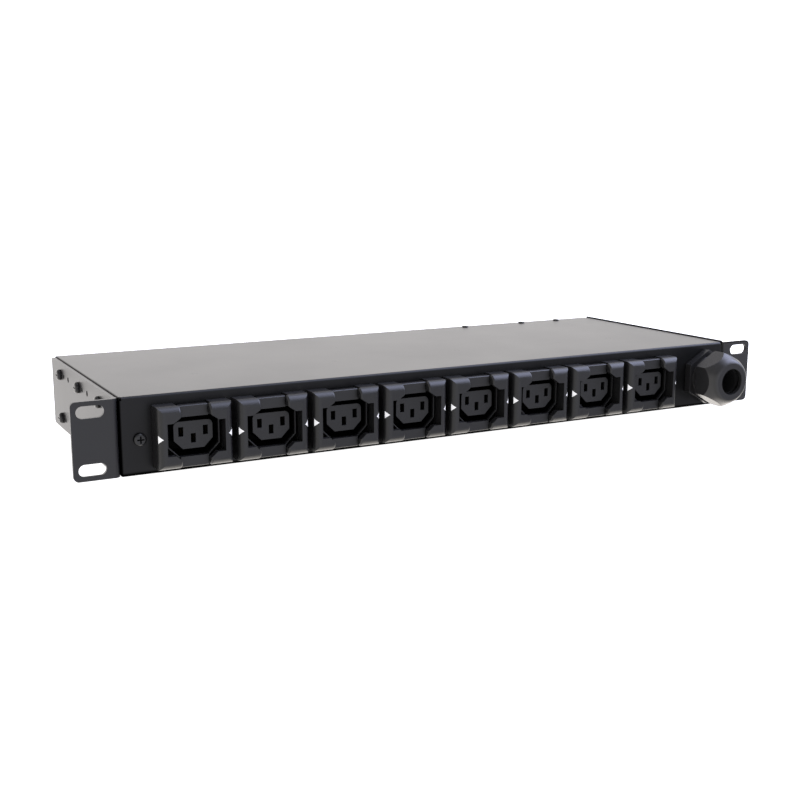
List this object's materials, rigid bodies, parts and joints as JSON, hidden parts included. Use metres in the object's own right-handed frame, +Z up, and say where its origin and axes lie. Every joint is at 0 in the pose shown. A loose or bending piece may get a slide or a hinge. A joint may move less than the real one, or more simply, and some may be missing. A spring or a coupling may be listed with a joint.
{
  "type": "rack power strip",
  "caption": "One-unit rack-mount power strip: shallow black sheet-metal case with slotted ears, a row of locking socket outlets and a domed cable gland.",
  "frame": {"origin": "centre of the four rack slots, on the front face of the mounting ears", "axes": "+X to the right along the strip seen from the front, +Y to the rear, +Z up"},
  "size_m": [0.4826, 0.1872, 0.0452],
  "materials": {
    "powder_coat": "satin black powder coat",
    "black_screw": "black oxide",
    "zinc": "zinc plated",
    "tinned_copper": "tinned",
    "socket_plastic": "moulded, fine matt",
    "button_plastic": "moulded, fine matt",
    "spring_steel": "polished spring steel",
    "brass": "bright",
    "white_nylon": "natural nylon",
    "brown_pvc": "insulation",
    "blue_pvc": "insulation",
    "green_pvc": "insulation",
    "gland_nylon": "moulded, slight gloss",
    "rubber": "smooth",
    "arrow_print": "pad printed"
  },
  "bodies": {
    "chassis": {"front_shell": "powder_coat", "base_tray": "powder_coat", "side_plate_left": "powder_coat", "side_plate_right": "powder_coat", "side_screws_left": "black_screw", "side_screws_right": "black_screw", "rear_screws": "black_screw", "panel_screw": "black_screw", "clinch_nuts": "zinc", "earth_nut": "zinc", "cover_studs": "powder_coat", "earth_terminal": "tinned_copper", "socket_housing_1": "socket_plastic", "socket_housing_2": "socket_plastic", "socket_housing_3": "socket_plastic", "socket_housing_4": "socket_plastic", "socket_housing_5": "socket_plastic", "socket_housing_6": "socket_plastic", "socket_housing_7": "socket_plastic", "socket_housing_8": "socket_plastic", "return_springs": "spring_steel", "line_busbar": "brass", "neutral_busbar": "brass", "earth_busbar": "brass", "busbar_cover": "white_nylon", "terminal_block": "white_nylon", "terminal_screws": "brass", "terminal_fixings": "zinc", "line_wire": "brown_pvc", "neutral_wire": "blue_pvc", "earth_wire": "green_pvc", "earth_bond_wire": "green_pvc", "gland_body": "gland_nylon", "gland_locknut": "gland_nylon", "gland_gasket": "rubber"},
    "button_1_left": {"release_button_1_left": "button_plastic"},
    "button_1_right": {"release_button_1_right": "button_plastic"},
    "button_2_left": {"release_button_2_left": "button_plastic"},
    "button_2_right": {"release_button_2_right": "button_plastic"},
    "button_3_left": {"release_button_3_left": "button_plastic"},
    "button_3_right": {"release_button_3_right": "button_plastic"},
    "button_4_left": {"release_button_4_left": "button_plastic"},
    "button_4_right": {"release_button_4_right": "button_plastic"},
    "button_5_left": {"release_button_5_left": "button_plastic"},
    "button_5_right": {"release_button_5_right": "button_plastic"},
    "button_6_left": {"release_button_6_left": "button_plastic"},
    "button_6_right": {"release_button_6_right": "button_plastic"},
    "button_7_left": {"release_button_7_left": "button_plastic"},
    "button_7_right": {"release_button_7_right": "button_plastic"},
    "button_8_left": {"release_button_8_left": "button_plastic"},
    "button_8_right": {"release_button_8_right": "button_plastic"},
    "gland_clamp": {"gland_clamp_insert": "gland_nylon", "gland_seal": "rubber"},
    "gland_nut": {"gland_nut": "gland_nylon"}
  },
  "joints": [
    {"name": "release_1_left", "type": "slide", "parent": "chassis", "child": "button_1_left", "axis": [1, 0, 0], "range_m": [0, 0.0013], "stiffness_N_per_m": 1500, "springref_m": -0.001, "deforming": ["return_springs"]},
    {"name": "release_1_right", "type": "slide", "parent": "chassis", "child": "button_1_right", "axis": [-1, 0, 0], "range_m": [0, 0.0013], "stiffness_N_per_m": 1500, "springref_m": -0.001, "deforming": ["return_springs"]},
    {"name": "release_2_left", "type": "slide", "parent": "chassis", "child": "button_2_left", "axis": [1, 0, 0], "range_m": [0, 0.0013], "stiffness_N_per_m": 1500, "springref_m": -0.001, "deforming": ["return_springs"]},
    {"name": "release_2_right", "type": "slide", "parent": "chassis", "child": "button_2_right", "axis": [-1, 0, 0], "range_m": [0, 0.0013], "stiffness_N_per_m": 1500, "springref_m": -0.001, "deforming": ["return_springs"]},
    {"name": "release_3_left", "type": "slide", "parent": "chassis", "child": "button_3_left", "axis": [1, 0, 0], "range_m": [0, 0.0013], "stiffness_N_per_m": 1500, "springref_m": -0.001, "deforming": ["return_springs"]},
    {"name": "release_3_right", "type": "slide", "parent": "chassis", "child": "button_3_right", "axis": [-1, 0, 0], "range_m": [0, 0.0013], "stiffness_N_per_m": 1500, "springref_m": -0.001, "deforming": ["return_springs"]},
    {"name": "release_4_left", "type": "slide", "parent": "chassis", "child": "button_4_left", "axis": [1, 0, 0], "range_m": [0, 0.0013], "stiffness_N_per_m": 1500, "springref_m": -0.001, "deforming": ["return_springs"]},
    {"name": "release_4_right", "type": "slide", "parent": "chassis", "child": "button_4_right", "axis": [-1, 0, 0], "range_m": [0, 0.0013], "stiffness_N_per_m": 1500, "springref_m": -0.001, "deforming": ["return_springs"]},
    {"name": "release_5_left", "type": "slide", "parent": "chassis", "child": "button_5_left", "axis": [1, 0, 0], "range_m": [0, 0.0013], "stiffness_N_per_m": 1500, "springref_m": -0.001, "deforming": ["return_springs"]},
    {"name": "release_5_right", "type": "slide", "parent": "chassis", "child": "button_5_right", "axis": [-1, 0, 0], "range_m": [0, 0.0013], "stiffness_N_per_m": 1500, "springref_m": -0.001, "deforming": ["return_springs"]},
    {"name": "release_6_left", "type": "slide", "parent": "chassis", "child": "button_6_left", "axis": [1, 0, 0], "range_m": [0, 0.0013], "stiffness_N_per_m": 1500, "springref_m": -0.001, "deforming": ["return_springs"]},
    {"name": "release_6_right", "type": "slide", "parent": "chassis", "child": "button_6_right", "axis": [-1, 0, 0], "range_m": [0, 0.0013], "stiffness_N_per_m": 1500, "springref_m": -0.001, "deforming": ["return_springs"]},
    {"name": "release_7_left", "type": "slide", "parent": "chassis", "child": "button_7_left", "axis": [1, 0, 0], "range_m": [0, 0.0013], "stiffness_N_per_m": 1500, "springref_m": -0.001, "deforming": ["return_springs"]},
    {"name": "release_7_right", "type": "slide", "parent": "chassis", "child": "button_7_right", "axis": [-1, 0, 0], "range_m": [0, 0.0013], "stiffness_N_per_m": 1500, "springref_m": -0.001, "deforming": ["return_springs"]},
    {"name": "release_8_left", "type": "slide", "parent": "chassis", "child": "button_8_left", "axis": [1, 0, 0], "range_m": [0, 0.0013], "stiffness_N_per_m": 1500, "springref_m": -0.001, "deforming": ["return_springs"]},
    {"name": "release_8_right", "type": "slide", "parent": "chassis", "child": "button_8_right", "axis": [-1, 0, 0], "range_m": [0, 0.0013], "stiffness_N_per_m": 1500, "springref_m": -0.001, "deforming": ["return_springs"]},
    {"name": "gland_clamp_slide", "type": "slide", "parent": "chassis", "child": "gland_clamp", "axis": [0, -1, 0], "range_m": [0, 0.00449]},
    {"name": "gland_nut_turn", "type": "hinge", "parent": "gland_clamp", "child": "gland_nut", "pos_m": [0.198, 0, -0.0004], "axis": [0, -1, 0], "range_deg": [0, 1080]}
  ],
  "couplings": [
    {"joint": "gland_nut_turn", "follows": "gland_clamp_slide", "rad_per_m": 4188.8}
  ]
}
